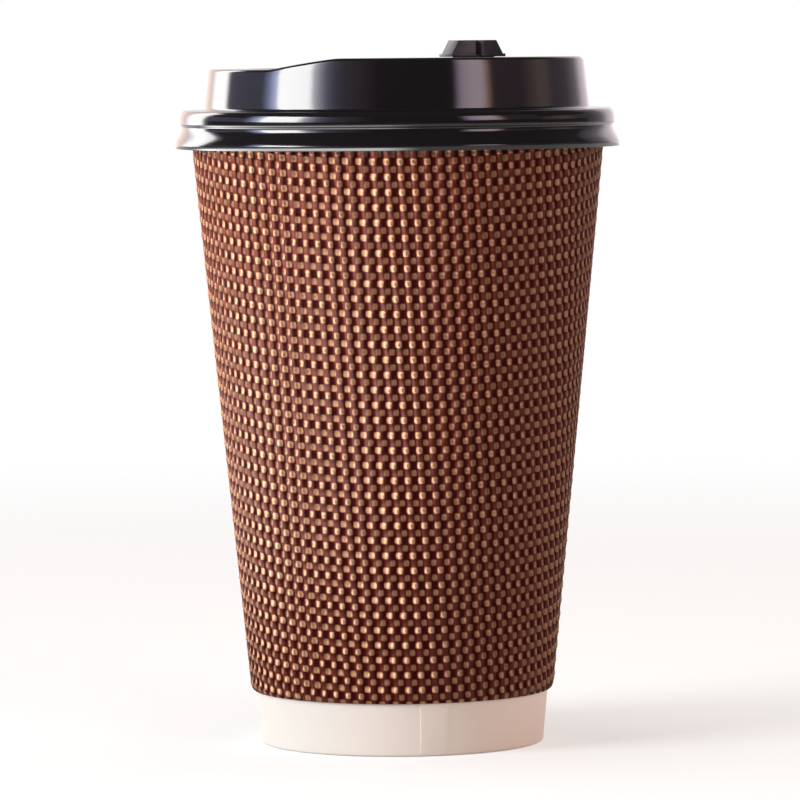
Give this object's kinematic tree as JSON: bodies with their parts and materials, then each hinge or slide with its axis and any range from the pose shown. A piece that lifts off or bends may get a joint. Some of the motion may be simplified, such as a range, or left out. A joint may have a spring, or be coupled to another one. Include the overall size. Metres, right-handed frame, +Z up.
{
  "type": "paper coffee cup",
  "caption": "Tall double-wall paper cup for hot drinks, with a woven-pattern wrap, a press-on sip lid and a stopper in the sip hole.",
  "frame": {"origin": "centre of the foot, on the plane that the cup stands on", "axes": "+Z up along the cup's axis, -Y towards the sip side of the lid, +X to the right of someone who faces the sip side from -Y"},
  "size_m": [0.094, 0.094, 0.1486],
  "materials": {
    "cup_board": "smooth coated board, soft sheen",
    "base_board": "smooth coated board, soft sheen",
    "wrap_paper": "embossed woven relief with a glossy varnish",
    "lid_plastic": "glossy moulded sheet",
    "plug_plastic": "satin moulded"
  },
  "bodies": {
    "cup": {"cup_wall": "cup_board", "base_disc": "base_board", "sleeve": "wrap_paper"},
    "lid": {"lid": "lid_plastic"},
    "stopper": {"plug": "plug_plastic"}
  },
  "joints": [
    {"name": "lid_lift", "type": "slide", "parent": "cup", "child": "lid", "axis": [0, 0, 1], "range_m": [0, 0.04]},
    {"name": "plug_lift", "type": "slide", "parent": "lid", "child": "stopper", "axis": [0, 0, 1], "range_m": [0, 0.012]}
  ]
}
